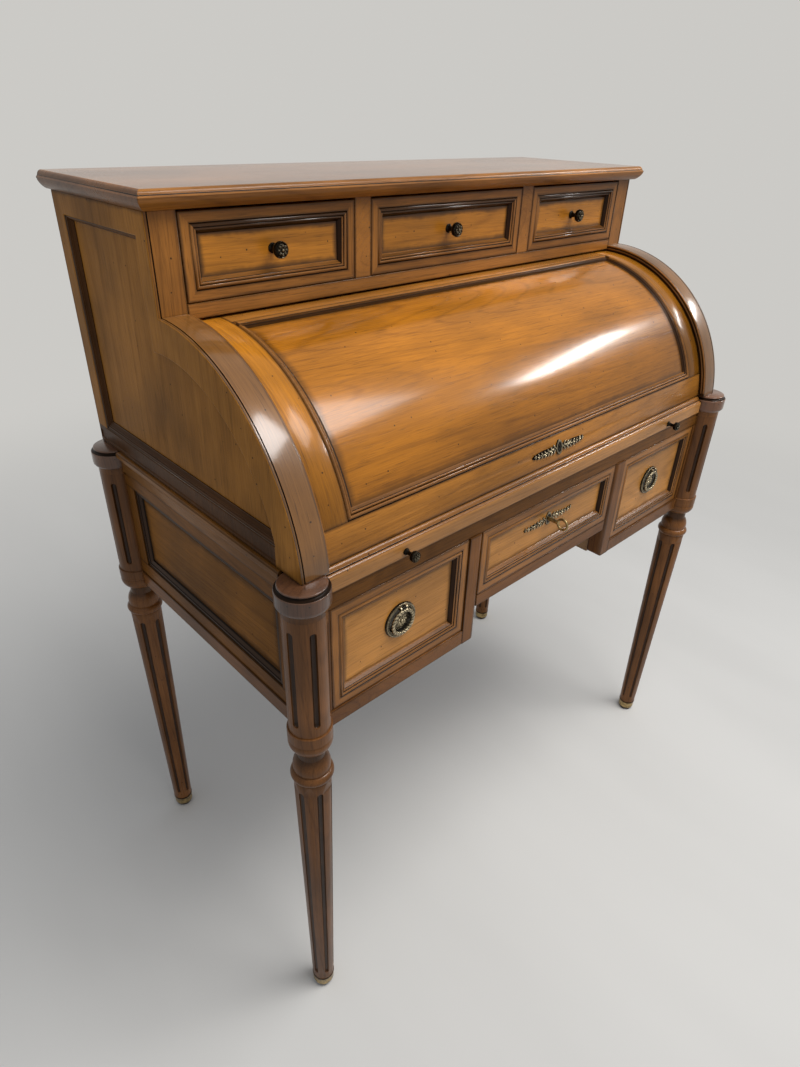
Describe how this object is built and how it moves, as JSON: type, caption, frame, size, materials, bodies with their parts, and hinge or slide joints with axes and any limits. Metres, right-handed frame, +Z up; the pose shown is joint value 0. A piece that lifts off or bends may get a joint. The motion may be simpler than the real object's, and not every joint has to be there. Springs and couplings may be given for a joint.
{
  "type": "cylinder desk",
  "caption": "Cylinder desk on turned fluted legs, with a turning quarter-round cover, a pull-out writing slide and small drawers above and below.",
  "frame": {"origin": "on the floor, midway between the four legs", "axes": "+Z up, front of the desk faces -Y, +X to the right of someone who faces the desk"},
  "size_m": [0.945, 0.5049, 1.1],
  "materials": {
    "cherry_case": "glossy varnish over honey-brown stained cherry",
    "cherry_panel": "glossy varnish over figured honey-brown cherry",
    "cherry_dark": "glossy varnish over dark patinated cherry",
    "inner_wood": "satin, plain brown wood",
    "drawer_lining": "matt, bare pale wood",
    "back_board": "matt, thin stained board",
    "bronze": "cast, dark antique bronze with rubbed high points",
    "brass": "worn bare brass",
    "steel": "plain satin steel"
  },
  "bodies": {
    "desk": {"gable_left": "cherry_case", "gable_right": "cherry_case", "side_frame_left": "cherry_case", "side_frame_right": "cherry_case", "frieze_rail": "cherry_case", "case_rail": "cherry_case", "case_dividers": "cherry_case", "gable_panels": "cherry_panel", "side_panels": "cherry_panel", "leg_front_left": "cherry_dark", "leg_front_right": "cherry_dark", "leg_back_left": "cherry_dark", "leg_back_right": "cherry_dark", "leg_caps": "cherry_dark", "top_slab": "cherry_dark", "base_and_knee_rails": "cherry_dark", "front_stiles": "cherry_dark", "waist_mouldings": "cherry_dark", "pedestal_sides": "inner_wood", "drawer_floors": "inner_wood", "slide_bed": "inner_wood", "case_floor": "inner_wood", "gallery": "inner_wood", "lower_back": "back_board", "upper_back": "back_board", "leg_sabots": "brass", "pivot_pins": "steel"},
    "cylinder": {"cylinder_panel": "cherry_panel", "cylinder_stiles": "cherry_case", "cylinder_rails": "cherry_case", "cylinder_moulding": "cherry_dark", "quadrant_arms": "steel", "cylinder_escutcheon": "bronze", "cylinder_lock": "steel"},
    "writing_slide": {"writing_board": "cherry_panel", "slide_front": "cherry_case", "slide_knobs": "bronze"},
    "upper_drawer_left": {"upper_drawer_front_left": "cherry_case", "upper_drawer_box_left": "drawer_lining", "upper_drawer_knob_left": "bronze"},
    "upper_drawer_centre": {"upper_drawer_front_centre": "cherry_case", "upper_drawer_box_centre": "drawer_lining", "upper_drawer_knob_centre": "bronze"},
    "upper_drawer_right": {"upper_drawer_front_right": "cherry_case", "upper_drawer_box_right": "drawer_lining", "upper_drawer_knob_right": "bronze"},
    "lower_drawer_left": {"lower_drawer_front_left": "cherry_case", "lower_drawer_box_left": "drawer_lining", "pull_plate_left": "bronze"},
    "ring_left": {"pull_ring_left": "bronze"},
    "lower_drawer_right": {"lower_drawer_front_right": "cherry_case", "lower_drawer_box_right": "drawer_lining", "pull_plate_right": "bronze"},
    "ring_right": {"pull_ring_right": "bronze"},
    "lower_drawer_centre": {"lower_drawer_front_centre": "cherry_case", "lower_drawer_box_centre": "drawer_lining", "drawer_escutcheon": "bronze", "drawer_lock": "steel"},
    "drawer_key": {"key": "brass"},
    "bolt": {"lock_bolt": "steel"}
  },
  "joints": [
    {"name": "cylinder_turn", "type": "hinge", "parent": "desk", "child": "cylinder", "pos_m": [0, 0.0085, 0.7377], "axis": [-1, 0, 0], "range_deg": [0, 74]},
    {"name": "slide_pull", "type": "slide", "parent": "desk", "child": "writing_slide", "axis": [0, -1, 0], "range_m": [0, 0.25]},
    {"name": "upper_drawer_left_pull", "type": "slide", "parent": "desk", "child": "upper_drawer_left", "axis": [0, -1, 0], "range_m": [0, 0.16]},
    {"name": "upper_drawer_centre_pull", "type": "slide", "parent": "desk", "child": "upper_drawer_centre", "axis": [0, -1, 0], "range_m": [0, 0.16]},
    {"name": "upper_drawer_right_pull", "type": "slide", "parent": "desk", "child": "upper_drawer_right", "axis": [0, -1, 0], "range_m": [0, 0.16]},
    {"name": "lower_drawer_left_pull", "type": "slide", "parent": "desk", "child": "lower_drawer_left", "axis": [0, -1, 0], "range_m": [0, 0.28]},
    {"name": "lower_drawer_centre_pull", "type": "slide", "parent": "desk", "child": "lower_drawer_centre", "axis": [0, -1, 0], "range_m": [0, 0.28]},
    {"name": "lower_drawer_right_pull", "type": "slide", "parent": "desk", "child": "lower_drawer_right", "axis": [0, -1, 0], "range_m": [0, 0.28]},
    {"name": "ring_left_swing", "type": "hinge", "parent": "lower_drawer_left", "child": "ring_left", "pos_m": [-0.2964, -0.2227, 0.6533], "axis": [-1, 0, 0], "range_deg": [0, 80]},
    {"name": "ring_right_swing", "type": "hinge", "parent": "lower_drawer_right", "child": "ring_right", "pos_m": [0.2964, -0.2227, 0.6533], "axis": [-1, 0, 0], "range_deg": [0, 80]},
    {"name": "key_turn", "type": "hinge", "parent": "lower_drawer_centre", "child": "drawer_key", "pos_m": [0, -0.22, 0.6658], "axis": [0, 1, 0], "range_deg": [0, 90]},
    {"name": "bolt_lift", "type": "slide", "parent": "lower_drawer_centre", "child": "bolt", "axis": [0, 0, 1], "range_m": [0, 0.004]}
  ],
  "couplings": [
    {"joint": "key_turn", "follows": "bolt_lift", "rad_per_m": 392.7}
  ]
}
